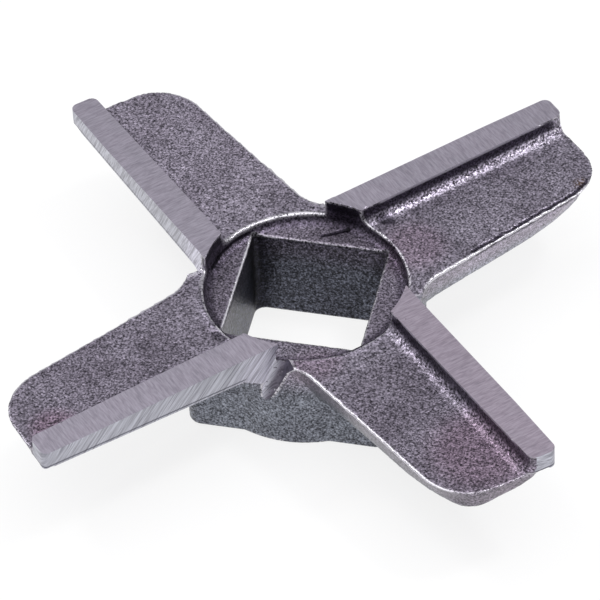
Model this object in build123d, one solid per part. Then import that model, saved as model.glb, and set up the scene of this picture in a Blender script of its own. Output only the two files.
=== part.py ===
from build123d import *
import math
import os

# Four-armed meat grinder knife, cast and ground in one piece.
# Millimetres.  Origin at the centre of the hub's base, +Z up to the cutting face.
# The arms lie at 45, 135, 225 and 315 degrees, so the square bore is square to X and Y.
# In the arm's own frame X runs out along the arm and +Y is the leading side.

# Sizes in fours are for the arms at 135, 225, 315 and 45 degrees, in that order: they differ a
# little as cast and ground.

# overall
height = 10.4            # hub base to cutting face
tip_x = (26.42, 26.70, 26.72, 26.62)  # end of each arm, from the axis
arm_count = 4
first_turn = 135
far = 40.0               # past the ends of the arms
margin = 1.0             # cutting shapes run past the metal by this much

# plan outline of an arm as cast
flank_root_y = 5.97      # leading flank, at the axis
flank_tip_y = 5.52       # leading flank, at the tip
trail_root_y = (-5.80, -5.95, -5.95, -5.95)  # trailing edge, at the axis
trail_tip_y = (-3.78, -3.50, -3.45, -3.52)  # trailing edge, at the tip
root_radius = (3.4, 4.0, 3.4, 3.8)  # between this arm's trailing edge and the next arm
root_reach = 8.4         # the four roots are near this far from the axis
toe_reach = (0.10, 0.10, 0.10, -0.05)  # the leading corner stands out past the end
heel_set_back = (0.25, 0.40, 0.75, 0.22)  # the end leans back towards the heel
heel_radius = (4.24, 4.24, 4.24, 3.7)  # trailing corner of the tip
toe_radius = 0.6         # leading corner of the tip

# rough upper surface of the arms
surface_tip_x = 26.6     # the drops are taken here and at the recess
top_drop_hub = 1.47      # below the cutting face, at the recess
top_drop_tip = 1.62      # below the cutting face, at the tip
wall_depth = 5.6         # from the rim down to the deepest point of the underside
wall_draft = 21.0        # trailing and end walls lean in towards the underside

# land: the raised, ground strip that does the cutting
land_lead_y = 5.62       # cutting edge
grinding_stock = 0.5     # left on the lands in the casting, and ground off level
land_trail_root_y = 3.05
land_trail_tip_y = 3.25
land_end_radius = 0.60   # trailing corner of its outer end, on the edges within these limits
land_end_zone = 0.3      # this near the tip
land_end_side = 0.1      # and no further forward of the step than this
land_end_length = 0.2
land_foot_radius = 1.05  # fillet at the foot of the land
land_bite = 0.02         # its foot runs out this far under the rough surface
land_root = 0.8          # depth of its section, before it is trimmed
land_foot = 0.1          # the lands stop this far below the rough surface of the tips
land_start_x = 4.8
land_cast_y = 5.66       # its leading side before the wheel takes it back

# ground leading face, and the notch the wheel leaves at its inner end
relief = 8.5             # undercut of the leading face, degrees
notch_x = (5.35, 4.75, 5.35, 5.75)
notch_lean = 0.33        # outward lean of the notch's end wall, per mm of depth
notch_splay = (0.20, 0.20, 0.20, -0.12)  # turn of that wall, per mm of width
notch_radius = 0.9
wheel_width = 4.5
wheel_depth = 9.0        # it cuts down past the underside of the arm

# underside of an arm: (leading, keel, trailing) points as y, z
under_root = ((5.22, 7.15), (3.08, 5.30), (-2.90, 4.35))
under_tip = ((5.35, 8.65), (3.00, 7.00), (-2.50, 5.85))
root_sag = (0.5, 0.0, 0.0, 0.0)  # the root's leading point lies this much lower
toe_sag = (0.05, 0.0, 0.0, 0.0)  # the tip's leading point
heel_sag = (0.0, 0.0, 0.45, 0.8)  # the tip's trailing point
under_tip_x = 28.0
web_slope = ((9.3, 7.9), (5.5, 4.9))  # edge of the web left by the hub, as x, z
half_width = 9.0         # no part of an arm is wider than this to either side
keel_radius = 1.2
edge_radius = 1.0        # underside to trailing wall, on the edges within these limits
lower_edge_start = 6.0   # past the hub
lower_edge_side = 1.0    # clear of the leading side
lower_edge_top = 8.0
lower_edge_rise = 2.5
lower_edge_length = 1.0

# hub
hub_radius = 8.72
block_side = 16.1        # square block round the bore
block_corner = 1.15
block_height = 5.5
base_edge = 0.2
recess_radius = 8.0
recess_depth = 2.3
recess_fillet = 0.7      # between its floor and its wall
recess_shift = (0.10, -0.12)  # it lies a little off the axis
bore_side_top = 10.90    # drafted, wider at the base
bore_side_base = 10.95
bore_corner_top = 0.15
bore_corner_base = 0.90
bore_overrun = 0.5       # below the base


def turned(arm, shape):
    """A shape made along X, turned to the direction of an arm."""
    return Rot(0, 0, first_turn + 90 * arm) * shape


def along_x(arm, shape):
    """A shape turned back, so that the arm lies along X."""
    return Rot(0, 0, -first_turn - 90 * arm) * shape


def arm_outline(arm):
    """Plan of one arm, square at the axis, with the two corners of its tip rounded."""
    end = tip_x[arm]
    trail_y = trail_tip_y[arm]
    corners = [
        (0, flank_root_y),
        (end + toe_reach[arm], flank_tip_y),
        (end - heel_set_back[arm], trail_y),
        (0, trail_root_y[arm]),
    ]
    face = make_face(Polyline(*corners, close=True))
    toe = face.vertices().sort_by_distance((end, flank_tip_y, 0))[0]
    face = fillet(toe, toe_radius)
    heel = face.vertices().sort_by_distance((end, trail_y, 0))[0]
    return fillet(heel, heel_radius[arm])


def cross_outline():
    """Plan of the whole cross with its four root fillets."""
    arms = [turned(arm, arm_outline(arm)) for arm in range(arm_count)]
    cross = arms[0] + arms[1:]
    for arm in range(arm_count):
        angle = math.radians(first_turn - 45 + 90 * arm)
        place = (root_reach * math.cos(angle), root_reach * math.sin(angle), 0)
        root = cross.vertices().sort_by_distance(place)[0]
        cross = fillet(root, root_radius[arm])
    return cross


def surface_fall():
    """Slope of the rough upper surface, from the recess out to the tips."""
    return (top_drop_tip - top_drop_hub) / (surface_tip_x - recess_radius)


def upper_cone():
    """Everything below the rough upper surface, which falls a little towards the tips."""
    fall = surface_fall()
    z_hub = height - top_drop_hub
    profile = Polyline(
        (0, -margin),
        (far, -margin),
        (far, z_hub - fall * (far - recess_radius)),
        (recess_radius, z_hub),
        (0, z_hub),
        close=True,
    )
    return revolve(Plane.XZ * make_face(profile), Axis.Z)


def under_section(x, points):
    """Section of the space under an arm: leading slope, keel, and the long flat behind it."""
    lead, keel, trail = points
    lead_slope = (lead[1] - keel[1]) / (lead[0] - keel[0])
    back_slope = (keel[1] - trail[1]) / (keel[0] - trail[0])
    outer = (half_width, lead[1] + lead_slope * (half_width - lead[0]))
    inner = (-half_width, trail[1] + back_slope * (-half_width - trail[0]))
    face = make_face(Polyline(outer, keel, inner, (-half_width, -margin), (half_width, -margin), close=True))
    corner = face.vertices().sort_by_distance((keel[0], keel[1], 0))[0]
    face = fillet(corner, keel_radius)
    return Plane(origin=(x, 0, 0), x_dir=(0, 1, 0), z_dir=(1, 0, 0)) * face


def lowered(points, lead_fall, trail_fall):
    """Points of an underside with the leading and trailing ones set lower."""
    lead, keel, trail = points
    return (lead[0], lead[1] - lead_fall), keel, (trail[0], trail[1] - trail_fall)


def under_space(arm):
    """Space under one arm, rising towards the tip, with a web left standing by the hub."""
    root = lowered(under_root, root_sag[arm], 0)
    tip = lowered(under_tip, toe_sag[arm], heel_sag[arm])
    sections = [under_section(0, root), under_section(under_tip_x, tip)]
    outer, inner = web_slope
    top = height + margin
    corners = [outer, inner, (0, inner[1]), (0, top), (outer[0], top)]
    web = Plane.XZ * make_face(Polyline(*corners, close=True))
    return loft(sections, ruled=True) - extrude(web, amount=half_width, both=True)


def cast_cross():
    """The whole cross, drafted, before its arms are hollowed out beneath."""
    rim = Pos(0, 0, height - top_drop_hub) * cross_outline()
    return extrude(rim, amount=wall_depth, dir=(0, 0, -1), taper=wall_draft)


def arm_body(cross, arm):
    """One arm of the cross, along X, hollowed out beneath, with its lower edge rounded."""
    quarter = make_face(Polyline((0, 0), (far, -far), (far, far), close=True))
    body = (along_x(arm, cross) & extrude(quarter, amount=height)) - under_space(arm)
    lower = body.edges().filter_by(is_lower_edge)
    return fillet(lower, edge_radius)


def is_lower_edge(edge):
    """Edges where the trailing and end walls of an arm turn under it."""
    start = edge @ 0
    middle = edge @ 0.5
    end = edge @ 1
    lengthwise = abs(start.Z - end.Z) < lower_edge_rise and edge.length > lower_edge_length
    past_hub = min(start.X, end.X) > lower_edge_start
    return lengthwise and past_hub and middle.Y < lower_edge_side and middle.Z < lower_edge_top


def arms_body():
    """The four arms under the rough upper surface."""
    cross = cast_cross()
    arms = [turned(arm, arm_body(cross, arm)) for arm in range(arm_count)]
    return arms[0] + arms[1:]


def land_section(x, trail_y, top_drop):
    """Section of a land as cast: upright step, and a fillet down to the rough surface."""
    top = height + grinding_stock
    floor = height - top_drop - land_bite
    base = floor - land_root
    turn = floor + land_foot_radius
    foot = trail_y - land_foot_radius
    middle = land_foot_radius * (1 - 0.5 ** 0.5)
    edges = [
        Line((land_cast_y, top), (trail_y, top)),
        Line((trail_y, top), (trail_y, turn)),
        ThreePointArc((trail_y, turn), (trail_y - middle, floor + middle), (foot, floor)),
        Line((foot, floor), (foot, base)),
        Line((foot, base), (land_cast_y, base)),
        Line((land_cast_y, base), (land_cast_y, top)),
    ]
    return Plane(origin=(x, 0, 0), x_dir=(0, 1, 0), z_dir=(1, 0, 0)) * make_face(edges)


def lands():
    """The raised strips, trimmed to the plan of the cross, with their outer ends rounded."""
    slope = (land_trail_tip_y - land_trail_root_y) / surface_tip_x
    fall = surface_fall()
    sections = [
        land_section(x, land_trail_root_y + slope * x, top_drop_hub + fall * (x - recess_radius))
        for x in (land_start_x, under_tip_x)
    ]
    bar = loft(sections, ruled=True)
    depth = top_drop_tip + land_foot
    rim = Pos(0, 0, height - depth) * cross_outline()
    column = extrude(rim, amount=depth + 2 * grinding_stock, dir=(0, 0, 1))
    strips = []
    for arm in range(arm_count):
        strip = bar & along_x(arm, column)
        ends = strip.edges().filter_by(is_land_end_edge)
        strips.append(turned(arm, fillet(ends, land_end_radius)))
    return strips


def is_land_end_edge(edge):
    """Upright and curved edges between the step of a land and its outer end."""
    middle = edge @ 0.5
    at_end = middle.X > min(tip_x) - land_end_zone
    return at_end and middle.Y < land_trail_tip_y + land_end_side and edge.length > land_end_length


def grinding_wheel(arm):
    """Space the wheel swept: leading face, end wall of the notch, and the corner between."""
    back = notch_x[arm] - notch_lean * margin
    face_y = land_lead_y + tan_relief() * margin
    plan = make_face(
        Polyline(
            (back, face_y),
            (far, face_y),
            (far, face_y + wheel_width),
            (back + notch_splay[arm] * wheel_width, face_y + wheel_width),
            close=True,
        )
    )
    corner = plan.vertices().sort_by_distance((back, face_y, 0))[0]
    plan = Pos(0, 0, height + margin) * fillet(corner, notch_radius)
    path = Vector(notch_lean, -tan_relief(), -1.0)
    return extrude(plan, amount=wheel_depth * path.length, dir=path.normalized())


def tan_relief():
    """Slope of the leading face, in mm of undercut per mm of depth."""
    return math.tan(math.radians(relief))


def hub():
    """Round hub with a square block round the bore, its corners under the arms."""
    drum = Pos(0, 0, height / 2) * Cylinder(hub_radius, height)
    plan = RectangleRounded(block_side, block_side, block_corner)
    return drum + extrude(plan, amount=block_height)


def bore():
    """Square drive bore, sharp where it opens in the recess and rounder at the base."""
    top = RectangleRounded(bore_side_top, bore_side_top, bore_corner_top)
    base = RectangleRounded(bore_side_base, bore_side_base, bore_corner_base)
    return loft([Pos(0, 0, -bore_overrun) * base, Pos(0, 0, height) * top], ruled=True)


def face_grinding():
    """Stock that the face grinder takes off the lands, all four in one plane."""
    side = 3 * surface_tip_x
    return Pos(0, 0, height + grinding_stock) * Box(side, side, 2 * grinding_stock)


def recess():
    """Round recess in the cutting face that leaves the plate clear of the drive."""
    tool = Pos(*recess_shift, height) * Cylinder(recess_radius, 2 * recess_depth)
    rim_of_floor = tool.edges().sort_by(Axis.Z)[0]
    return fillet(rim_of_floor, recess_fillet)


def knife():
    """The whole knife: cast body, then the cuts made in it by grinding and machining."""
    body = (arms_body() + hub()) & upper_cone()
    for land in lands():
        body = body + land
    body = body - face_grinding()
    body = body - recess()
    body = body - bore()
    for arm in range(arm_count):
        body = body - turned(arm, grinding_wheel(arm))
    base = body.faces().sort_by(Axis.Z)[0]
    body = fillet(base.outer_wire().edges(), base_edge)
    return body


os.makedirs("parts", exist_ok=True)
shape = knife()
export_step(shape, "parts/cross_knife.step")
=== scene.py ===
import math

import bmesh
import bpy
import numpy as np
from mathutils import Matrix, Vector
from mathutils.geometry import tessellate_polygon


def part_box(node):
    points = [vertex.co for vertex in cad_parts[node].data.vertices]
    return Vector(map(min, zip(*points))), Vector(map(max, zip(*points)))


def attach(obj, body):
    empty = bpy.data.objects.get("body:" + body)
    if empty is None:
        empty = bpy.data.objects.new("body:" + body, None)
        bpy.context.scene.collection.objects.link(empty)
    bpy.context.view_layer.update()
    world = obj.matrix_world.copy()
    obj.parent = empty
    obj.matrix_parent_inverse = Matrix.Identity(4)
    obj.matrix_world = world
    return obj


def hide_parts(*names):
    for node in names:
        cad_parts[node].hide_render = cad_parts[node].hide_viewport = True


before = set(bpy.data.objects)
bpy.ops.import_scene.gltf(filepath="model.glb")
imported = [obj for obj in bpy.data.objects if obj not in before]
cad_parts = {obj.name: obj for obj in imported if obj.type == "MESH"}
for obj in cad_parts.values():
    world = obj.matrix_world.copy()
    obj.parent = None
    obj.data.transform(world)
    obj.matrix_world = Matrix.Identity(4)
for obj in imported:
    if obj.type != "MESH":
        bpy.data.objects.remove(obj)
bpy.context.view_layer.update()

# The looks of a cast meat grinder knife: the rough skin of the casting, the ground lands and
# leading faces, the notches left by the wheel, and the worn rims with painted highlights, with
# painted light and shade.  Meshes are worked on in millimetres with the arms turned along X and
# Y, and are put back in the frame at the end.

NODE = "cross_knife"
BODY = "root"

# ---------------------------------------------------------------- sizes, in millimetres
MM = 1000.0                       # to the metre
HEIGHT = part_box(NODE)[1].z * MM   # hub base to cutting face
ARM_TURN = math.radians(45)       # the arms lie on the diagonals of the frame
LAND_LEAD = 5.62                  # cutting edge, from the middle of the arm
RELIEF = math.tan(math.radians(8.5))   # undercut of the leading face, per mm of depth
NOTCH_LEAN = 0.33                 # outward lean of the notch's end wall, per mm of depth
NOTCH_RADIUS = 0.9
NOTCHES = (                       # for each arm: start, and turn of the end wall per mm of width
    (5.35, 0.20),
    (5.75, -0.12),
    (5.35, 0.20),
    (4.75, 0.20),
)
LAND_FROM = (3.0, 2.0)            # a land lies further along and across its arm than this
NOSE_FROM = (24.0, 3.6)           # and so does its nose at the tip of the arm
NOSE_DEPTH = 1.6                  # below the cutting face
GROUND_WITHIN = 0.06              # a face this near the wheel's path was ground by it
LEVEL_WITHIN = 0.02               # and one this near the cutting face is level with it
LEVEL = 0.99                      # upward part of the normal of a face that is level
UPRIGHT = 0.3                     # and the most that an upright face has, up or down
LEADING = -0.2                    # least part of a nose's normal towards its leading side
BORE_HALF = 5.55                  # everything nearer the axis than this is the bore
NET_PITCH = 0.12                  # spacing of the skin's net
SHARP_ANGLE = math.radians(24)    # edges of the solid sharper than this are kept
HUB_CUT = 9.6                     # the arms' pieces start here, from the axis


# ---------------------------------------------------------------- small helpers
def into_scene(name, data):
    """A new object, linked to the scene."""
    thing = bpy.data.objects.new(name, data)
    bpy.context.scene.collection.objects.link(thing)
    return thing


def plain_mesh(thing):
    """What an object's modifiers make of it, as a plain mesh."""
    return bpy.data.meshes.new_from_object(thing.evaluated_get(bpy.context.evaluated_depsgraph_get()))


def keep(mesh, name, kind, domain, values):
    """Stores an array as an attribute of a mesh."""
    layer = mesh.attributes.new(name, kind, domain)
    field = "vector" if kind == "FLOAT_VECTOR" else "value"
    layer.data.foreach_set(field, values.astype(np.float32).ravel())


def add_node(tree, kind, inputs=None, **settings):
    """Adds a node, sets its properties, then its sockets from values or other sockets."""
    node = tree.nodes.new(kind)
    for name, value in settings.items():
        setattr(node, name, value)
    for key, value in (inputs or {}).items():
        socket = node.inputs[key]
        if isinstance(value, bpy.types.NodeSocket):
            tree.links.new(value, socket)
        else:
            socket.default_value = value
    return node


def maths(tree, operation, a, b=None, clamp=False):
    """One Math node; returns its output socket."""
    inputs = {0: a} if b is None else {0: a, 1: b}
    return add_node(tree, "ShaderNodeMath", inputs, operation=operation, use_clamp=clamp).outputs[0]


def vector_maths(tree, operation, a, b=None, output="Value"):
    """One Vector Math node; returns the output socket that is asked for."""
    inputs = {0: a} if b is None else {0: a, 1: b}
    return add_node(tree, "ShaderNodeVectorMath", inputs, operation=operation).outputs[output]


def scaled(tree, vector, scale):
    """A vector times a number."""
    return add_node(tree, "ShaderNodeVectorMath", {0: vector, "Scale": scale}, operation="SCALE").outputs[0]


def ramp(tree, value, low, high, to_low=0.0, to_high=1.0):
    """Smooth map of a value from one range to another; returns the output socket."""
    inputs = {"Value": value, "From Min": low, "From Max": high, "To Min": to_low, "To Max": to_high}
    return add_node(tree, "ShaderNodeMapRange", inputs, interpolation_type="SMOOTHSTEP").outputs[0]


def noise(tree, place, pitch, detail=2.0, rough=0.5, seed=0.0):
    """Noise with grains of about the given size; returns the value socket."""
    inputs = {"Vector": place, "W": seed, "Scale": 1 / pitch, "Detail": detail, "Roughness": rough}
    return add_node(tree, "ShaderNodeTexNoise", inputs, noise_dimensions="4D").outputs[0]


def measured(tree, place, **others):
    """Sockets by name, for limits: the parts of a place, and others."""
    axis = add_node(tree, "ShaderNodeSeparateXYZ", {0: place}).outputs
    return {"place": place, "right": axis["X"], "back": axis["Y"], "height": axis["Z"], **others}


def within(tree, at, limits):
    """The product of some limits.  A limit is the name of what is measured, the value where it
    begins and the value where it is full, then its shares there if they aren't 0 and 1.  A limit
    with a name alone is a share already."""
    share = None
    for measure, *fade in limits:
        part = ramp(tree, at[measure], *fade) if fade else at[measure]
        share = part if share is None else maths(tree, "MULTIPLY", share, part)
    return share


# ---------------------------------------------------------------- the solid, welded
WELD = 0.001                      # corners nearer than this are one


def welded_solid():
    """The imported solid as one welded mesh, in millimetres, with the arms along X and Y."""
    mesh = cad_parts[NODE].data.copy()
    mesh.transform(Matrix.Rotation(ARM_TURN, 4, "Z") @ Matrix.Scale(MM, 4))
    work = bmesh.new()
    work.from_mesh(mesh)
    bmesh.ops.remove_doubles(work, verts=work.verts, dist=WELD)
    bmesh.ops.triangulate(work, faces=work.faces)
    work.to_mesh(mesh)
    work.free()
    mesh.materials.clear()
    mark_ground_faces(mesh)
    return mesh


def face_arrays(mesh):
    """Centres and normals of a mesh's faces."""
    centres = np.zeros(len(mesh.polygons) * 3)
    normals = np.zeros(len(mesh.polygons) * 3)
    mesh.polygons.foreach_get("center", centres)
    mesh.polygons.foreach_get("normal", normals)
    return centres.reshape(-1, 3), normals.reshape(-1, 3)


def in_arm(points, turn):
    """Turns points by a number of quarters, so that one arm lies along +X."""
    c, s = math.cos(math.pi / 2 * turn), math.sin(math.pi / 2 * turn)
    x, y, z = points.T
    return np.stack([c * x + s * y, c * y - s * x, z], 1)


def wheel_gap(x, y, start, splay):
    """Distance from places level with the lands to the surface swept by the grinding wheel."""
    corner = NOTCH_RADIUS * (math.hypot(1, splay) + splay)
    to_face = y - LAND_LEAD
    to_wall = (x - start - splay * to_face) / math.hypot(1, splay)
    across = x - start - corner
    beyond = to_face - NOTCH_RADIUS
    in_corner = (across < 0) & (beyond < -splay * across)
    return np.where(in_corner, NOTCH_RADIUS - np.hypot(across, beyond), np.minimum(to_face, to_wall))


def mark_ground_faces(mesh):
    """Face attribute `ground`: 0 on the casting, 1 to 4 on the ground faces of each arm."""
    centres, normals = face_arrays(mesh)
    ground = np.zeros(len(centres))
    level = (centres[:, 2] > HEIGHT - LEVEL_WITHIN) & (normals[:, 2] > LEVEL)
    feed = np.array([NOTCH_LEAN, -RELIEF, -1.0])
    feed /= np.linalg.norm(feed)
    for turn, (start, splay) in enumerate(NOTCHES):
        x, y, z = in_arm(centres, turn).T
        normal = in_arm(normals, turn)
        depth = HEIGHT - z
        gap = wheel_gap(x - NOTCH_LEAN * depth, y + RELIEF * depth, start, splay)
        along_feed = np.abs(normal @ feed) < GROUND_WITHIN
        swept = along_feed & (np.abs(gap) < GROUND_WITHIN) & (x > 0) & (y > 0)
        land = level & (x > LAND_FROM[0]) & (y > LAND_FROM[1])
        outward = (normal[:, 1] > LEADING) & (np.abs(normal[:, 2]) < UPRIGHT)
        nose = outward & (x > NOSE_FROM[0]) & (y > NOSE_FROM[1]) & (depth < NOSE_DEPTH)
        ground[swept | land | nose] = turn + 1
    keep(mesh, "ground", "FLOAT", "FACE", ground)


# ---------------------------------------------------------------- the skin
FINISHES = ("Casting", "Leading", "Land")
SKIN_SIZES = (
    ("Edge reach", 0.6 * NET_PITCH),
    ("Wave size", 3.5),
    ("Wave height", 0.10),
    ("Lump size", 1.0),
    ("Lump height", 0.05),
    ("Grain size", 0.30),
    ("Grain height", 0.075),
    ("Seed", 3.7),
)
SKIN_LAYERS = (                  # detail and roughness of each layer of the rough skin
    ("Wave", 2.0, 0.5),
    ("Lump", 1.0, 0.5),
    ("Grain", 2.0, 0.6),
)
GROUND_EDGE = 0.25               # `ground` on an edge that has a ground face beside it
GROUND_FACE = 0.5                # `ground` on a ground face
LAND_UPWARD = 0.9                # upward part of a land's normal
EASING = 3                       # how often the net is eased to round the cast rims
HELD = (0.02, 0.22)              # the net is held near a ground edge, and free beyond
SMOOTH_BASE = (0.02, 0.4)        # the casting's grain fades out towards the hub's base
HOLLOWS = (                      # dents and creases in the frame: start, end, half width and depth
    ((4.4, 8.1, 8.95), (5.0, 8.2, 8.95), 0.85, 0.035),
    ((-5.6, -6.6, 8.95), (-5.1, -6.9, 8.95), 0.55, 0.1),
    ((0.0, 6.35, 8.1), (2.1, 7.45, 8.1), 0.25, 0.06),
    ((2.1, 7.45, 8.1), (3.0, 7.9, 8.7), 0.25, 0.06),
    ((-7.6, 0.9, 8.4), (-7.4, 2.6, 8.4), 0.24, 0.045),
    ((-7.4, 2.6, 8.4), (-6.7, 4.1, 8.4), 0.24, 0.045),
    ((-6.7, 4.1, 8.4), (-5.7, 5.3, 8.4), 0.24, 0.045),
    ((18.6, -18.9, 8.9), (18.6, -18.9, 8.9), 0.45, 0.08),
)
HOLLOW_CORE = 0.3                # share of the half width over which a hollow is at its deepest
FULL_HOLLOW = 0.06               # a hollow this deep gets the darkest painted shade
LAP_DEPTH = 0.09
LAP_GAP = 0.4                    # the lap runs this far from a trailing rim, and wanders
LAP_WANDER = 0.5                 # to either side, at most half of this
LAP_PITCH = 1 / 1.1              # of its wandering
LAP = (                          # limits of the lap, with its arm turned to lie along the back
    ("gap", 0.2, 0.07),
    ("back", 12.2, 13.2),
    ("back", 25.4, 24.4),
    ("right", 2.0, 2.5),
    ("height", 8.4, 8.6),
    ("wander", 0.32, 0.38),
)


def closed_net(solid):
    """An even net of small squares round the solid."""
    work = into_scene("net", solid.copy())
    remesh = work.modifiers.new("net", "REMESH")
    remesh.mode = "VOXEL"
    remesh.voxel_size = NET_PITCH
    net = plain_mesh(work)
    bpy.data.objects.remove(work)
    return net


def compared(tree, operation, a, b):
    """One Compare node; returns its output socket."""
    return add_node(tree, "FunctionNodeCompare", {0: a, 1: b}, operation=operation).outputs[0]


def both(tree, a, b):
    """Where two selections meet."""
    return add_node(tree, "FunctionNodeBooleanMath", {0: a, 1: b}, operation="AND").outputs[0]


def edges(tree, solid, chosen):
    """The chosen edges of a solid."""
    inputs = {"Geometry": solid, "Selection": chosen}
    return add_node(tree, "GeometryNodeSeparateGeometry", inputs, domain="EDGE").outputs["Selection"]


def nearest(tree, target, element):
    """The nearest place on a target, and how far it is."""
    return add_node(tree, "GeometryNodeProximity", {0: target}, target_element=element).outputs


def stored(tree, geometry, name, value, domain="POINT"):
    """Geometry with a value stored on it by name."""
    inputs = {"Geometry": geometry, "Name": name, "Value": value}
    kind = "GeometryNodeStoreNamedAttribute"
    return add_node(tree, kind, inputs, data_type="FLOAT", domain=domain).outputs[0]


def recalled(tree, name):
    """A value that was stored by name."""
    kind = "GeometryNodeInputNamedAttribute"
    return add_node(tree, kind, {"Name": name}, data_type="FLOAT").outputs["Attribute"]


def moved(tree, geometry, **inputs):
    """Geometry with its points set to new places."""
    return add_node(tree, "GeometryNodeSetPosition", {"Geometry": geometry, **inputs}).outputs[0]


def painted(tree, geometry, **inputs):
    """Geometry with a material set."""
    return add_node(tree, "GeometryNodeSetMaterial", {"Geometry": geometry, **inputs}).outputs[0]


def gap_to_line(tree, place, start, end):
    """Distance to a straight line that runs between two places given in the frame."""
    turn = Matrix.Rotation(ARM_TURN, 3, "Z")
    start, end = turn @ Vector(start), turn @ Vector(end)
    along = end - start
    offset = vector_maths(tree, "SUBTRACT", place, start, "Vector")
    dot = vector_maths(tree, "DOT_PRODUCT", offset, along)
    share = maths(tree, "DIVIDE", dot, max(along.length_squared, 1e-6), clamp=True)
    return vector_maths(tree, "DISTANCE", offset, scaled(tree, along, share))


def hollows(tree, place, rim_distance):
    """Small dents and the lap along one rim: their share of painted shade, and how deep they go."""
    share = dug = None
    for start, end, radius, depth in HOLLOWS:
        gap = gap_to_line(tree, place, start, end)
        part = ramp(tree, gap, radius, HOLLOW_CORE * radius)
        deep = maths(tree, "MULTIPLY", part, depth)
        part = maths(tree, "MULTIPLY", part, min(1.0, depth / FULL_HOLLOW))
        share = part if share is None else maths(tree, "MAXIMUM", share, part)
        dug = deep if dug is None else maths(tree, "MAXIMUM", dug, deep)
    wander = noise(tree, place, LAP_PITCH, seed=2.0)
    sway = maths(tree, "MULTIPLY", maths(tree, "SUBTRACT", wander, 0.5), LAP_WANDER)
    line = maths(tree, "SUBTRACT", maths(tree, "ADD", rim_distance, sway), LAP_GAP)
    at = measured(tree, place, gap=maths(tree, "ABSOLUTE", line), wander=wander)
    lap = within(tree, at, LAP)
    lap_dug = maths(tree, "MULTIPLY", lap, LAP_DEPTH)
    return maths(tree, "MAXIMUM", share, lap), maths(tree, "MAXIMUM", dug, lap_dug)


def skin_sockets(face):
    """Names the inputs of the skin's tree, with its sizes, and its output."""
    face.new_socket("Net", in_out="INPUT", socket_type="NodeSocketGeometry")
    face.new_socket("Solid", in_out="INPUT", socket_type="NodeSocketObject")
    for name, value in SKIN_SIZES:
        socket = face.new_socket(name, in_out="INPUT", socket_type="NodeSocketFloat")
        socket.default_value = value
    for material in FINISHES:
        face.new_socket(material, in_out="INPUT", socket_type="NodeSocketMaterial")
    face.new_socket("Skin", in_out="OUTPUT", socket_type="NodeSocketGeometry")


def rough_depth(tree, given, place):
    """Waves, lumps and grains of the rough casting, added up."""
    depth = None
    for name, detail, rough in SKIN_LAYERS:
        scale = maths(tree, "DIVIDE", 1.0, given[name + " size"])
        inputs = {"Vector": place, "W": given["Seed"], "Scale": scale, "Detail": detail, "Roughness": rough}
        layer = add_node(tree, "ShaderNodeTexNoise", inputs, noise_dimensions="4D").outputs[0]
        part = maths(tree, "MULTIPLY", maths(tree, "SUBTRACT", layer, 0.5), given[name + " height"])
        depth = part if depth is None else maths(tree, "ADD", depth, part)
    return depth


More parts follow.
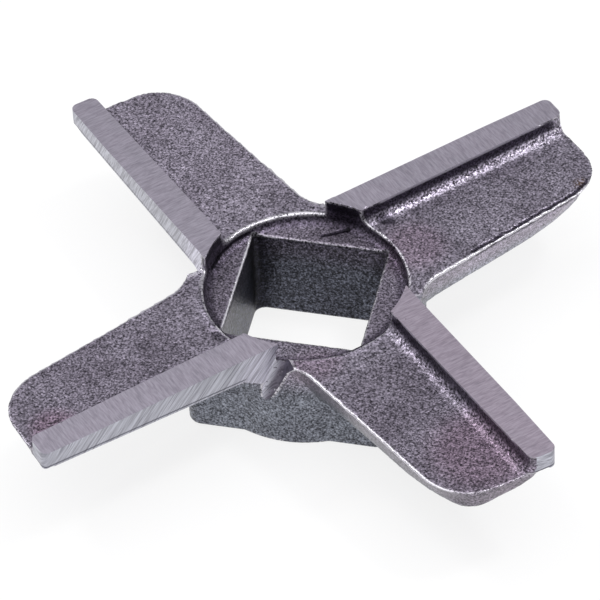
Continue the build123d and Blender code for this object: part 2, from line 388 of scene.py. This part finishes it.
def skin_tree():
    """Lays a net on the solid, keeps the ground edges sharp, and gives the casting its rough skin."""
    tree = bpy.data.node_groups.new("cast_skin", "GeometryNodeTree")
    skin_sockets(tree.interface)
    given = tree.nodes.new("NodeGroupInput").outputs
    solid = add_node(tree, "GeometryNodeObjectInfo", {"Object": given["Solid"]}).outputs["Geometry"]
    ground = recalled(tree, "ground")
    angle = add_node(tree, "GeometryNodeInputMeshEdgeAngle").outputs
    sharp = compared(tree, "GREATER_THAN", angle["Unsigned Angle"], SHARP_ANGLE)
    by_ground = compared(tree, "GREATER_THAN", ground, GROUND_EDGE)
    convex = compared(tree, "GREATER_THAN", angle["Signed Angle"], SHARP_ANGLE)
    to_edge = nearest(tree, edges(tree, solid, both(tree, sharp, by_ground)), "EDGES")
    rim_distance = nearest(tree, edges(tree, solid, convex), "EDGES")["Distance"]

    # onto the faces of the solid, then onto its ground edges
    skin = moved(tree, given["Net"], Position=nearest(tree, solid, "FACES")["Position"])
    near = compared(tree, "LESS_THAN", to_edge["Distance"], given["Edge reach"])
    skin = moved(tree, skin, Selection=near, Position=to_edge["Position"])
    by_face = {"Mesh": solid, "Value": ground}
    finish = add_node(tree, "GeometryNodeSampleNearestSurface", by_face, data_type="FLOAT").outputs["Value"]
    skin = stored(tree, skin, "ground", finish, "FACE")
    skin = stored(tree, skin, "rim", rim_distance)

    # round the cast rims by easing the net where it isn't held
    place = add_node(tree, "GeometryNodeInputPosition").outputs[0]
    free = ramp(tree, to_edge["Distance"], *HELD)
    free = maths(tree, "MULTIPLY", free, maths(tree, "SUBTRACT", 1.0, ground, clamp=True))
    spread = {"Value": place, "Iterations": EASING, "Weight": free}
    eased = add_node(tree, "GeometryNodeBlurAttribute", spread, data_type="FLOAT_VECTOR").outputs["Value"]
    skin = moved(tree, skin, Position=eased)

    # the rough skin, with the dents and the lap dug in
    grained = maths(tree, "MULTIPLY", free, ramp(tree, measured(tree, place)["height"], *SMOOTH_BASE))
    hollow, dug = hollows(tree, place, rim_distance)
    depth = maths(tree, "MULTIPLY", rough_depth(tree, given, place), grained)
    # the share of painted shade in the dents, the creases and the lap
    skin = stored(tree, skin, "hollow", hollow)
    skin = stored(tree, skin, "depth", maths(tree, "SUBTRACT", depth, dug))
    normal = add_node(tree, "GeometryNodeInputNormal").outputs[0]
    skin = moved(tree, skin, Offset=scaled(tree, normal, recalled(tree, "depth")))

    is_ground = compared(tree, "GREATER_THAN", ground, GROUND_FACE)
    upward = add_node(tree, "ShaderNodeSeparateXYZ", {0: normal}).outputs["Z"]
    is_level = compared(tree, "GREATER_THAN", upward, LAND_UPWARD)
    skin = add_node(tree, "GeometryNodeRealizeInstances", {"Geometry": skin}).outputs[0]
    skin = painted(tree, skin, Material=given["Casting"])
    skin = painted(tree, skin, Selection=is_ground, Material=given["Leading"])
    skin = painted(tree, skin, Selection=both(tree, is_ground, is_level), Material=given["Land"])
    out = tree.nodes.new("NodeGroupOutput")
    tree.links.new(skin, out.inputs["Skin"])
    return tree


def rough_skin(solid, finishes):
    """The whole skin as one plain mesh, with its finishes in the order of FINISHES."""
    reference = into_scene("solid", solid)
    work = into_scene("skin", closed_net(solid))
    tree = skin_tree()
    sockets = {i.name: i.identifier for i in tree.interface.items_tree if i.in_out == "INPUT"}
    skin = work.modifiers.new("skin", "NODES")
    skin.node_group = tree
    skin[sockets["Solid"]] = reference
    for name, finish in zip(FINISHES, finishes):
        skin[sockets[name]] = finish
    mesh = plain_mesh(work)
    for thing in (work, reference):
        bpy.data.objects.remove(thing)
    return mesh


# ---------------------------------------------------------------- cutting the skin into pieces
PIECES = ("arm_right", "arm_back", "arm_left", "arm_front", "hub")
LIP_STEPS = np.arange(9.0, 25.0)  # the lower edge of a leading face is looked for at these


def read(layer, name, width, count, kind=np.float64):
    """One property of a mesh's vertices, faces or triangles as an array."""
    values = np.zeros(count * width, kind)
    layer.foreach_get(name, values)
    return values.reshape(-1, width) if width > 1 else values


class Skin:
    """The skin's triangles as arrays, in millimetres, with what the materials read."""

    def __init__(self, mesh):
        mesh.calc_loop_triangles()
        count = len(mesh.loop_triangles)
        face = read(mesh.loop_triangles, "polygon_index", 1, count, np.int32)
        self.corners = read(mesh.loop_triangles, "vertices", 3, count, np.int32)
        self.finish = read(mesh.polygons, "material_index", 1, len(mesh.polygons), np.int32)[face]
        arm = read(mesh.attributes["ground"].data, "value", 1, len(mesh.polygons))[face]
        self.arm = np.round(arm)
        self.places = read(mesh.vertices, "co", 3, len(mesh.vertices))
        self.rim = read(mesh.attributes["rim"].data, "value", 1, len(mesh.vertices))
        self.hollow = read(mesh.attributes["hollow"].data, "value", 1, len(mesh.vertices))
        a, b, c = (self.places[self.corners[:, i]] for i in range(3))
        self.normals = np.cross(b - a, c - a)
        self.shading = self.corner_normals()
        self.marks = self.wheel_marks()
        self.lips = self.lip_heights()

    def corner_normals(self):
        """A normal for each corner: ground faces stay flat, the casting is smooth up to their edges."""
        cast = self.finish == FINISHES.index("Casting")
        smooth = np.zeros_like(self.places)
        for i in range(3):
            for axis in range(3):
                smooth[:, axis] += np.bincount(
                    self.corners[cast, i], self.normals[cast, axis], minlength=len(self.places)
                )
        smooth = unit(smooth)
        by_corner = smooth[self.corners]
        by_corner[~cast] = unit(self.normals)[~cast][:, None, :]
        return by_corner

    def wheel_marks(self):
        """Place of each corner in the frame of the arm it was ground on, for the wheel's marks."""
        marks = self.places[self.corners]
        for turn in range(len(NOTCHES)):
            chosen = self.arm == turn + 1
            marks[chosen] = in_arm(marks[chosen].reshape(-1, 3), turn).reshape(-1, 3, 3)
        return marks

    def lip_heights(self):
        """Height of each corner above the lower edge of the leading face it lies on."""
        heights = np.ones(self.marks.shape[:2])
        steep = self.finish == FINISHES.index("Leading")
        for turn in range(len(NOTCHES)):
            chosen = (self.arm == turn + 1) & steep
            x, _, z = self.marks[chosen].reshape(-1, 3).T
            lowest = [z[(x > step) & (x < step + 1)].min() for step in LIP_STEPS]
            slope, start = np.polyfit(LIP_STEPS + 0.5, lowest, 1)
            heights[chosen] = (z - start - slope * x).reshape(-1, 3)
        return heights

    def piece(self):
        """Which of PIECES each triangle belongs to."""
        x, y, _ = self.places[self.corners].mean(1).T
        arm = np.round(np.arctan2(y, x) / (math.pi / 2)).astype(int) % 4
        return np.where(np.hypot(x, y) > HUB_CUT, arm, PIECES.index("hub"))


def unit(vectors):
    """Vectors brought to a length of 1."""
    return vectors / np.maximum(np.linalg.norm(vectors, axis=1), 1e-12)[:, None]


def cap(corners, places):
    """Triangles that close a piece over its borders, each laid out flat as height against turn."""
    first = corners.ravel().astype(np.int64)
    second = np.roll(corners, -1, 1).ravel().astype(np.int64)
    size = len(places)
    is_open = ~np.isin(first * size + second, second * size + first)
    onward = dict(zip(second[is_open].tolist(), first[is_open].tolist()))
    closing = []
    while onward:
        start, after = onward.popitem()
        loop = [start]
        while after != start:
            loop.append(after)
            after = onward.pop(after)
        x, y, z = places[loop].T
        middle = math.atan2(y.mean(), x.mean())
        turn = (np.arctan2(y, x) - middle + math.pi) % (2 * math.pi) - math.pi
        flat = [Vector((HUB_CUT * a, b, 0)) for a, b in zip(turn, z)]
        closing += [[loop[k] for k in face] for face in tessellate_polygon([flat])]
    return np.array(closing)


def closed_piece(name, skin, chosen, finishes):
    """The chosen triangles of the skin, closed, as an object with what the materials read."""
    caps = cap(skin.corners[chosen], skin.places)
    cap_places = skin.places[caps]
    flat = unit(np.cross(cap_places[:, 1] - cap_places[:, 0], cap_places[:, 2] - cap_places[:, 0]))
    used, local = np.unique(np.concatenate([skin.corners[chosen], caps]), return_inverse=True)
    local = local.reshape(-1, 3)
    mesh = bpy.data.meshes.new(name)
    mesh.from_pydata(skin.places[used].tolist(), [], local.tolist())
    for finish in finishes:
        mesh.materials.append(finish)
    casting = np.full(len(caps), FINISHES.index("Casting"), np.int32)
    mesh.polygons.foreach_set("material_index", np.concatenate([skin.finish[chosen], casting]))
    mesh.polygons.foreach_set("use_smooth", np.ones(len(local), bool))
    keep(mesh, "rim", "FLOAT", "POINT", skin.rim[used])
    keep(mesh, "hollow", "FLOAT", "POINT", skin.hollow[used])
    keep(mesh, "wheel", "FLOAT_VECTOR", "CORNER", np.concatenate([skin.marks[chosen], cap_places]))
    keep(mesh, "lip", "FLOAT", "CORNER", np.concatenate([skin.lips[chosen], np.ones((len(caps), 3))]))
    normals = np.concatenate([skin.shading[chosen], np.repeat(flat[:, None, :], 3, 1)])
    mesh.normals_split_custom_set(normals.reshape(-1, 3).tolist())
    mesh.transform(Matrix.Scale(1 / MM, 4) @ Matrix.Rotation(-ARM_TURN, 4, "Z"))
    mesh.update()
    return into_scene(name, mesh)


def make_pieces(mesh, finishes):
    """Cuts the skin into closed pieces that share their borders and their shading."""
    skin = Skin(mesh)
    part = skin.piece()
    return [closed_piece(name, skin, part == index, finishes) for index, name in enumerate(PIECES)]


# ---------------------------------------------------------------- what materials are made of
MIDDLE = (0.35, 0.65)            # most of what a noise gives lies in this range
SPOT_CORE = 0.4                  # share of its radius over which a spot is full


def new_material(name):
    """An empty material, and its tree."""
    material = bpy.data.materials.new(name)
    material.use_nodes = True
    material.node_tree.nodes.clear()
    return material, material.node_tree


def blend(tree, share, first, second, mode="MIX"):
    """Mixes two colours; returns the output socket."""
    inputs = {0: share, 6: first, 7: second}
    return add_node(tree, "ShaderNodeMix", inputs, data_type="RGBA", blend_type=mode).outputs[2]


def tinted(tree, share, colour, tint):
    """Multiplies a colour by a tint where the share is 1."""
    return blend(tree, share, colour, blend(tree, 1.0, colour, tint, "MULTIPLY"))


def shaded(tree, at, colour, shades):
    """A colour tinted by each shade of a table, within its limits."""
    for tint, *limits in shades.values():
        colour = tinted(tree, within(tree, at, limits), colour, tint)
    return colour


def millimetres(tree):
    """Object coordinates in millimetres."""
    place = tree.nodes.new("ShaderNodeTexCoord").outputs["Object"]
    return add_node(tree, "ShaderNodeMapping", {"Vector": place, "Scale": (MM, MM, MM)}).outputs[0]


def attribute(tree, name, output="Fac"):
    """Reads what was kept on a piece by name."""
    return add_node(tree, "ShaderNodeAttribute", attribute_name=name).outputs[output]


def spot(tree, place, centre, radius):
    """A soft round patch; returns its share."""
    return ramp(tree, vector_maths(tree, "DISTANCE", place, centre), radius, SPOT_CORE * radius)


def bumped(tree, size, height):
    """A normal bumped by a pattern, with the strength and the height in size."""
    inputs = {"Strength": size[0], "Distance": size[1], "Height": height}
    return add_node(tree, "ShaderNodeBump", inputs).outputs[0]


def finish_with(tree, **inputs):
    """The surface shader, from its sockets by name."""
    named = {key.replace("_", " "): value for key, value in inputs.items()}
    shader = add_node(tree, "ShaderNodeBsdfPrincipled", named)
    out = tree.nodes.new("ShaderNodeOutputMaterial")
    tree.links.new(shader.outputs[0], out.inputs["Surface"])


# ---------------------------------------------------------------- rough casting
# Places are in the frame, in millimetres: to the right, to the back, and up.  Limits are those
# of `within`, and a colour or a tint is red, green, blue and 1.
GRAIN_PITCH, GRAIN_RANGE = 0.15, (0.26, 0.94)
GRAIN_DARK, GRAIN_BRIGHT = (0.031, 0.028, 0.037, 1), (0.72, 0.655, 0.8, 1)
CLOUD_PITCH, CLOUD_TINT = 3.0, (0.8, 0.79, 0.8, 1)
LIGHT_AND_SHADE_PATCHES = (                 # painted light and shade: lighter to the back left, darker to the front right and the front left, and a small painted shadow by the back rim of the recess; centre, radius and tone
    ((-15.0, 15.0, 9.0), 18.0, (1.19, 1.18, 1.18, 1)),
    ((15.0, -15.0, 9.0), 15.0, (0.83, 0.82, 0.83, 1)),
    ((-14.0, -14.0, 9.0), 15.0, (0.87, 0.86, 0.87, 1)),
    ((1.6, 8.2, 9.0), 1.9, (0.4, 0.38, 0.42, 1)),
)
MAUVE_TINT = (1.1, 0.9, 0.97, 1)
MAUVE_PATCHES = (                # centre, radius and strength
    ((7.4, 5.6, 9.0), 3.6, 0.6),
    ((17.0, -14.8, 9.0), 5.5, 0.8),
    ((-15.4, -18.4, 9.0), 2.6, 0.9),
    ((2.5, -8.0, 9.0), 3.0, 0.5),
)
TRAILING_SIDE = ((15.8, 8.8, 7.0), 11.0)     # centre and radius of a patch that faces the light
CAST_SHADES = {                  # painted light and shade on the casting, and a greener hub: tint, then limits
    # greener and darker below the arms: a greener tone with painted shade
    "greener hub and sides, in painted shade": ((0.75, 0.87, 0.83, 1), ("height", 7.5, 5.0)),
    "trailing side in the light": ((1.7, 1.66, 1.68, 1), ("height", 8.5, 8.1), ("trailing side",)),
    # painted shade on the step under a land, half as much at the front
    "painted shade on the step under a land": (
        (0.28, 0.26, 0.31, 1),
        ("height", 9.2, 9.6),
        ("radius", 26.3, 25.3),
        ("back", -9.0, -5.0, 0.5, 1.0),
    ),
    # painted shade on the recess floor, little of it at the front
    "painted shade on the recess floor": (
        (0.75, 0.73, 0.75, 1),
        ("radius", 8.2, 7.6),
        ("height", 9.2, 8.6),
        ("open above",),
        ("back", -6.5, -5.0, 0.1, 1.0),
    ),
    # painted light on the front rim of the recess
    "painted light on the front rim of the recess": (
        (1.35, 1.35, 1.36, 1),
        ("radius", 8.1, 8.25),
        ("radius", 8.9, 8.5),
        ("back", -3.0, -5.0),
        ("height", 8.3, 8.6),
    ),
    # painted shade on the recess wall
    "painted shade on the recess wall": (
        (0.45, 0.43, 0.48, 1),
        ("radius", 6.9, 7.5),
        ("radius", 8.3, 8.15),
        ("open above",),
    ),
    # painted shade in the back left corner of the bore
    "painted shade in the back left corner of the bore": ((0.4, 0.4, 0.45, 1), ("bore",), ("from corner", 2.4, 0.6)),
    # painted shade, bluer, deeper down the left wall of the bore
    "painted shade down the left wall of the bore": ((0.38, 0.38, 0.58, 1), ("bore",), ("right", -5.2, -5.4), ("height", 7.0, 2.0)),
}
# the bore: stronger grain, darkened with painted shade
BORE_DARK, BORE_BRIGHT = (0.22, 0.22, 0.25, 1), (0.92, 0.95, 1.0, 1)
OPEN_ABOVE = (("height", 7.4, 7.8),)         # surfaces that look up, rather than the underside
STEP_FOOT_GLINTS = (                    # painted glints in the grains along the foot of the step under a land
    ("height", 8.96, 9.05),
    ("height", 9.45, 9.25),
    ("radius", 8.6, 9.6),
    ("back", -6.0, -3.0, 0.45, 1.0),
)
FOOT_GLINT_RANGE = (0.35, 0.68)        # of the grain, from the dark tint to the bright one
FOOT_GLINT_DARK, FOOT_GLINT_BRIGHT = (0.7, 0.69, 0.7, 1), (2.6, 2.57, 2.6, 1)
RUST, RUST_RADIUS = (19.1, 15.1, 9.0), 0.9
RUST_RANGE, RUST_COLOUR = (0.6, 0.4), (0.1, 0.065, 0.05, 1)      # rust sits in the dark grains
# painted shade in the dents, the creases and the lap: range of their share, and tint
HOLLOW_SHADE_RANGE, HOLLOW_SHADE_TINT = (0.1, 0.7), (0.13, 0.12, 0.15, 1)
CAST_METAL, CAST_ROUGH, WORN_ROUGH = 0.85, 0.36, 0.28
CAST_BUMP = (1.0, 0.00004)       # strength, and height in metres


def cast_measures(tree):
    """What the limits of the casting's shades, painted light and shade among them, and of its worn rims with
    their painted highlights measure.
    """
    at = measured(tree, millimetres(tree))
    place, right, back = at["place"], at["right"], at["back"]
    level = add_node(tree, "ShaderNodeCombineXYZ", {0: right, 1: back, 2: 0.0}).outputs[0]
    across = maths(tree, "MAXIMUM", maths(tree, "ABSOLUTE", right), maths(tree, "ABSOLUTE", back))
    at["radius"] = vector_maths(tree, "LENGTH", level)
    at["to back left"] = vector_maths(tree, "DOT_PRODUCT", level, (-0.8, 0.6, 0))
    at["from corner"] = vector_maths(tree, "DISTANCE", level, (-BORE_HALF, BORE_HALF, 0))
    at["bore"] = maths(tree, "LESS_THAN", across, BORE_HALF)
    at["open above"] = maths(tree, "MAXIMUM", at["bore"], within(tree, at, OPEN_ABOVE))
    at["trailing side"] = spot(tree, place, *TRAILING_SIDE)
    at["grain"] = noise(tree, place, GRAIN_PITCH, seed=1.3)
    at["rim"] = attribute(tree, "rim")
    patches = noise(tree, place, WEAR_AND_HIGHLIGHT_PITCH, rough=0.6, seed=9.0)
    at["patchy"] = ramp(tree, patches, *WEAR_AND_HIGHLIGHT_PATCHES)
    return at


def cast_colour(tree, at):
    """Mauve-grey grains with browner and greyer patches and patches of painted light and shade, darker in
    painted shade in the recess and the bore.
    """
    place, grain = at["place"], at["grain"]
    light = ramp(tree, grain, *GRAIN_RANGE)
    colour = blend(tree, light, GRAIN_DARK, GRAIN_BRIGHT)
    cloud = ramp(tree, noise(tree, place, CLOUD_PITCH, seed=4.0), *MIDDLE)
    colour = tinted(tree, cloud, colour, CLOUD_TINT)
    # patches of painted light and shade
    for centre, radius, painted_tone in LIGHT_AND_SHADE_PATCHES:
        colour = tinted(tree, spot(tree, place, centre, radius), colour, painted_tone)
    for centre, radius, strength in MAUVE_PATCHES:
        share = maths(tree, "MULTIPLY", spot(tree, place, centre, radius), strength)
        colour = tinted(tree, share, colour, MAUVE_TINT)
    # painted light and shade from the table
    colour = shaded(tree, at, colour, CAST_SHADES)
    # painted glints along the foot of the steps
    painted_glints = blend(tree, ramp(tree, grain, *FOOT_GLINT_RANGE), FOOT_GLINT_DARK, FOOT_GLINT_BRIGHT)
    colour = tinted(tree, within(tree, at, STEP_FOOT_GLINTS), colour, painted_glints)
    # stronger grain and painted shade in the bore
    colour = tinted(tree, at["bore"], colour, blend(tree, light, BORE_DARK, BORE_BRIGHT))
    rust_grains = ramp(tree, grain, *RUST_RANGE)
    rust = maths(tree, "MULTIPLY", spot(tree, place, RUST, RUST_RADIUS), rust_grains)
    return blend(tree, rust, colour, RUST_COLOUR)


# ---------------------------------------------------------------- rims worn bright, with painted highlights
WEAR_AND_HIGHLIGHT_PITCH = 0.8                 # of the patches in which the rims are worn and painted with highlights
WEAR_AND_HIGHLIGHT_PATCHES = (0.35, 0.6, 0.3, 1.0)         # range of their noise, and how much wear and painted highlight at its ends
# wear and painted highlights along the cast rims
RIM_WEAR_AND_HIGHLIGHT = (
    ("rim", 0.26, 0.08),
    ("grain", 0.34, 0.56),
    ("patchy",),
    ("radius", 24.0, 25.0, 1.0, 0.5),
)
RECESS_BRIM_HIGHLIGHT = (                  # painted highlight on the brim of the recess, on its back left
    ("to back left", 4.2, 6.2, 0.0, 0.6),
    ("radius", 9.4, 8.9),
    ("height", 8.5, 8.8),
    ("height", 9.2, 9.05),
    ("rim", 0.45, 0.18),
    ("grain", 0.3, 0.5),
)
ARM_RIM_WEAR_AND_HIGHLIGHT = (                     # the upper rims of the arms, worn and painted with highlights, wider than the rest
    ("radius", 9.2, 9.8),
    ("radius", 25.4, 24.4),
    ("height", 7.6, 8.0),
    ("grain", 0.22, 0.42),
    ("rim", 0.3, 0.12),
)
BORE_EDGE_HIGHLIGHT = (                    # painted highlight on the left edge of the bore
    ("right", -5.0, -5.3),
    ("right", -5.9, -5.7),
    ("back", 5.3, 5.0),
    ("height", 7.7, 7.9),
    ("rim", 0.18, 0.1),
)
DULL_BACK = (("radius", 7.8, 7.6, 0.0, 0.7), ("back", 4.8, 5.2))      # no wear or painted highlight behind the bore
DULL_NOSES = (("radius", 22.0, 23.0), ("height", 8.3, 8.0))           # nor below the lands' noses
# burrs, worn bright and painted with highlights
BURRS = ((-3.5, -6.3, 8.95), (-0.65, -7.0, 8.95))
BURR_RADIUS = 0.35
# colour of the worn rims with painted highlights, and of the painted highlights alone
WEAR_AND_HIGHLIGHT_COLOUR, HIGHLIGHT_COLOUR = (0.66, 0.64, 0.69, 1), (0.9, 0.88, 0.93, 1)


def lessened(tree, share, by):
    """A share, less where another is high."""
    return maths(tree, "MULTIPLY", share, maths(tree, "SUBTRACT", 1.0, by))


def rims_worn_and_highlit(tree, at):
    """How far the casting is worn and painted with highlights, and the colour of both."""
    brim_highlight = within(tree, at, RECESS_BRIM_HIGHLIGHT)
    bore_edge_highlight = within(tree, at, BORE_EDGE_HIGHLIGHT)
    wear_and_highlight = maths(tree, "MAXIMUM", within(tree, at, RIM_WEAR_AND_HIGHLIGHT), brim_highlight)
    wear_and_highlight = maths(tree, "MAXIMUM", wear_and_highlight, within(tree, at, ARM_RIM_WEAR_AND_HIGHLIGHT))
    wear_and_highlight = lessened(tree, wear_and_highlight, within(tree, at, DULL_BACK))
    wear_and_highlight = maths(tree, "MAXIMUM", wear_and_highlight, bore_edge_highlight)
    wear_and_highlight = lessened(tree, wear_and_highlight, within(tree, at, DULL_NOSES))
    for centre in BURRS:
        wear_and_highlight = maths(tree, "MAXIMUM", wear_and_highlight, spot(tree, at["place"], centre, BURR_RADIUS))
    # painted highlights on the brim of the recess and the left edge of the bore
    highlight = maths(tree, "MAXIMUM", bore_edge_highlight, brim_highlight)
    return wear_and_highlight, blend(tree, highlight, WEAR_AND_HIGHLIGHT_COLOUR, HIGHLIGHT_COLOUR)


def cast_iron():
    """Rough casting, with its rims worn bright and painted with highlights, and painted shade in its
    hollows.
    """
    material, tree = new_material("cast_skin")
    at = cast_measures(tree)
    wear_and_highlight, wear_and_highlight_colour = rims_worn_and_highlit(tree, at)
    # wear and painted highlights on the rims
    colour = blend(tree, wear_and_highlight, cast_colour(tree, at), wear_and_highlight_colour)
    # painted shade in the dents, the creases and the lap
    shade_in_hollows = ramp(tree, attribute(tree, "hollow"), *HOLLOW_SHADE_RANGE)
    colour = tinted(tree, shade_in_hollows, colour, HOLLOW_SHADE_TINT)
    rough = ramp(tree, wear_and_highlight, 0.0, 1.0, CAST_ROUGH, WORN_ROUGH)
    bump = bumped(tree, CAST_BUMP, at["grain"])
    finish_with(tree, Base_Color=colour, Metallic=CAST_METAL, Roughness=rough, Normal=bump)
    return material


# ---------------------------------------------------------------- ground steel
GROUND_METAL = 0.9
WHEEL_SLANT = math.radians(-33)  # of the marks on a leading face
LEADING_STREAKS = (              # share, size and seed of the wheel's lines and of finer scratches
    (0.6, (0.14, 1.0, 4.0), 2.0),
    (0.4, (0.06, 1.0, 2.0), 5.0),
)
NOTCH_WALL = (1.0, -0.2, NOTCH_LEAN)         # measures how far a place is from a notch's end wall
LEADING_DARK, LEADING_BRIGHT = (0.22, 0.216, 0.253, 1), (0.57, 0.575, 0.645, 1)
LEADING_ROUGH = 0.36
LEADING_BUMP = (0.6, 0.00003)    # strength, and height in metres
LEADING_SHADES = {               # painted shade near the notch and along the lower edge, lighter beside the end wall: tint, then limits
    # painted shade on the end wall of the notch
    "painted shade on the end wall of the notch": ((0.3, 0.27, 0.31, 1), ("from wall", 8.0, 7.3)),
    "beside the end wall": ((1.4, 1.36, 1.4, 1), ("from wall", 12.5, 9.5), ("from wall", 7.6, 8.2)),
    # a painted shadow line by the rolled lip along the lower edge
    "painted shadow line by the rolled lip along the lower edge": (
        (0.3, 0.3, 0.33, 1),
        ("lip", 0.42, 0.34),
        ("lip", 0.18, 0.26),
        ("from wall", 10.0, 10.6),
    ),
}
LAND_STREAK, LAND_RANGE = (0.11, 0.9, 1.0), (0.2, 0.8)
LAND_DARK, LAND_BRIGHT = (0.275, 0.25, 0.3, 1), (0.49, 0.452, 0.532, 1)
LAND_CLOUD_PITCH, LAND_CLOUD_TINT = 1.6, (0.95, 0.96, 0.955, 1)
LAND_WARMTH = ((16.0, -8.0, 10.4), 20.0)     # centre and radius of a warmer patch
LAND_WARM_TINT = (1.03, 0.97, 0.98, 1)
LAND_ROUGH = 0.38


def streaks(tree, marks, turn, size, seed):
    """Marks of a wheel: long streaks of the given size, turned in the plane of a face."""
    inputs = {"Vector": marks, "Rotation": turn, "Scale": size}
    mapped = add_node(tree, "ShaderNodeMapping", inputs, vector_type="TEXTURE").outputs[0]
    return noise(tree, mapped, 1.0, detail=3.0, rough=0.6, seed=seed)


def leading_steel():
    """Leading faces and notches, with slanted marks from the wheel."""
    material, tree = new_material("leading_steel")
    marks = attribute(tree, "wheel", "Vector")
    mixed = None
    for share, size, seed in LEADING_STREAKS:
        part = maths(tree, "MULTIPLY", streaks(tree, marks, (0, WHEEL_SLANT, 0), size, seed), share)
        mixed = part if mixed is None else maths(tree, "ADD", mixed, part)
    colour = blend(tree, ramp(tree, mixed, *MIDDLE), LEADING_DARK, LEADING_BRIGHT)
    from_wall = vector_maths(tree, "DOT_PRODUCT", marks, NOTCH_WALL)
    at = {"from wall": from_wall, "lip": attribute(tree, "lip")}
    # painted shade on the notch's end wall and by the lip, lighter beside the wall
    colour = shaded(tree, at, colour, LEADING_SHADES)
    bump = bumped(tree, LEADING_BUMP, mixed)
    finish_with(tree, Base_Color=colour, Metallic=GROUND_METAL, Roughness=LEADING_ROUGH, Normal=bump)
    return material


def land_steel():
    """Lands, with faint marks straight across from the face grinder."""
    material, tree = new_material("land_steel")
    lines = streaks(tree, attribute(tree, "wheel", "Vector"), (0, 0, 0), LAND_STREAK, 1.0)
    place = millimetres(tree)
    clouds = noise(tree, place, LAND_CLOUD_PITCH, seed=7.0)
    colour = blend(tree, ramp(tree, lines, *LAND_RANGE), LAND_DARK, LAND_BRIGHT)
    colour = tinted(tree, ramp(tree, clouds, *MIDDLE), colour, LAND_CLOUD_TINT)
    colour = tinted(tree, spot(tree, place, *LAND_WARMTH), colour, LAND_WARM_TINT)
    finish_with(tree, Base_Color=colour, Metallic=GROUND_METAL, Roughness=LAND_ROUGH)
    return material


# ---------------------------------------------------------------- studio
CAMERA_ELEVATION = math.radians(44.76)
CAMERA_YAW = math.radians(-14.71)
CAMERA_ROLL = math.radians(3.06)
CAMERA_DISTANCE = 0.4088
FRAME_SIDE = 600                 # pixels
SENSOR = 36.0
LENS = 315.7
AIM = (4.18, 29.23)              # the middle of the lands sits this far right of and above centre
LAMPS = (                        # name, place, width and power
    ("overhead", (0.0, -0.1, 0.5), 0.8, 2.4),
    ("right", (0.21, 0.08, 0.45), 0.09, 0.5),
    ("left", (-0.3, 0.135, 0.38), 0.09, 0.4),
)
LAMP_TARGET = (0, 0, 0.005)
SURROUND = (0.5, 0.5, 0.52, 1)
FLOOR_SIDE = 6.0
FLOOR_PAINT = (0.9, 0.9, 0.9, 1)
FLOOR_GLOW = 0.8                 # how much of the floor shows as plain white


def camera():
    """Looks down on the middle of the lands from the front."""
    data = bpy.data.cameras.new("camera")
    data.sensor_width = SENSOR
    data.lens = LENS
    data.clip_start = 0.01
    turn = Matrix.Rotation(-CAMERA_YAW, 3, "Z")
    tilt = Matrix.Rotation(math.pi / 2 - CAMERA_ELEVATION, 3, "X")
    roll = Matrix.Rotation(-CAMERA_ROLL, 3, "Z")
    look = turn @ tilt @ roll
    middle = Vector((0, 0, HEIGHT / MM))
    place = middle + look @ Vector((0, 0, CAMERA_DISTANCE))
    pixels = LENS / SENSOR * FRAME_SIDE
    right = Matrix.Rotation(math.atan(AIM[0] / pixels), 3, "Y")
    above = Matrix.Rotation(-math.atan(AIM[1] / pixels), 3, "X")
    thing = into_scene("camera", data)
    thing.matrix_world = Matrix.Translation(place) @ (look @ (right @ above)).to_4x4()
    bpy.context.scene.camera = thing


def area_lamp(name, place, size, power):
    """A round lamp that points at the part."""
    data = bpy.data.lights.new(name, "AREA")
    data.shape = "DISK"
    data.size = size
    data.energy = power
    thing = into_scene(name, data)
    thing.location = place
    thing.rotation_mode = "QUATERNION"
    thing.rotation_quaternion = (Vector(LAMP_TARGET) - Vector(place)).to_track_quat("-Z", "Y")


def white_floor():
    """Floor paint that shows white to the camera and in the metal, and keeps the part's shadow."""
    material, tree = new_material("white_floor")
    paint = add_node(tree, "ShaderNodeBsdfDiffuse", {"Color": FLOOR_PAINT})
    glow = add_node(tree, "ShaderNodeEmission", {"Color": (1, 1, 1, 1), "Strength": 1.0})
    path = tree.nodes.new("ShaderNodeLightPath")
    seen = maths(tree, "MAXIMUM", path.outputs["Is Camera Ray"], path.outputs["Is Glossy Ray"])
    seen = maths(tree, "MULTIPLY", seen, FLOOR_GLOW)
    mix = add_node(tree, "ShaderNodeMixShader", {0: seen, 1: paint.outputs[0], 2: glow.outputs[0]})
    out = tree.nodes.new("ShaderNodeOutputMaterial")
    tree.links.new(mix.outputs[0], out.inputs["Surface"])
    return material


def studio():
    """White floor, soft lamps, and an even grey surround."""
    world = bpy.data.worlds.new("studio")
    bpy.context.scene.world = world
    world.use_nodes = True
    world.node_tree.nodes["Background"].inputs["Color"].default_value = SURROUND
    world.node_tree.nodes["Background"].inputs["Strength"].default_value = 1.0
    for lamp in LAMPS:
        area_lamp(*lamp)
    bpy.ops.mesh.primitive_plane_add(size=FLOOR_SIDE, location=(0, 0, 0))
    floor = bpy.context.object
    floor.name = "floor"
    floor.data.materials.append(white_floor())


# ---------------------------------------------------------------- put together
bpy.context.scene.view_settings.view_transform = "Standard"
camera()
studio()
finishes = (cast_iron(), leading_steel(), land_steel())
skin = rough_skin(welded_solid(), finishes)
for piece in make_pieces(skin, finishes):
    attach(piece, BODY)
    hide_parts(NODE)
bpy.data.meshes.remove(skin)
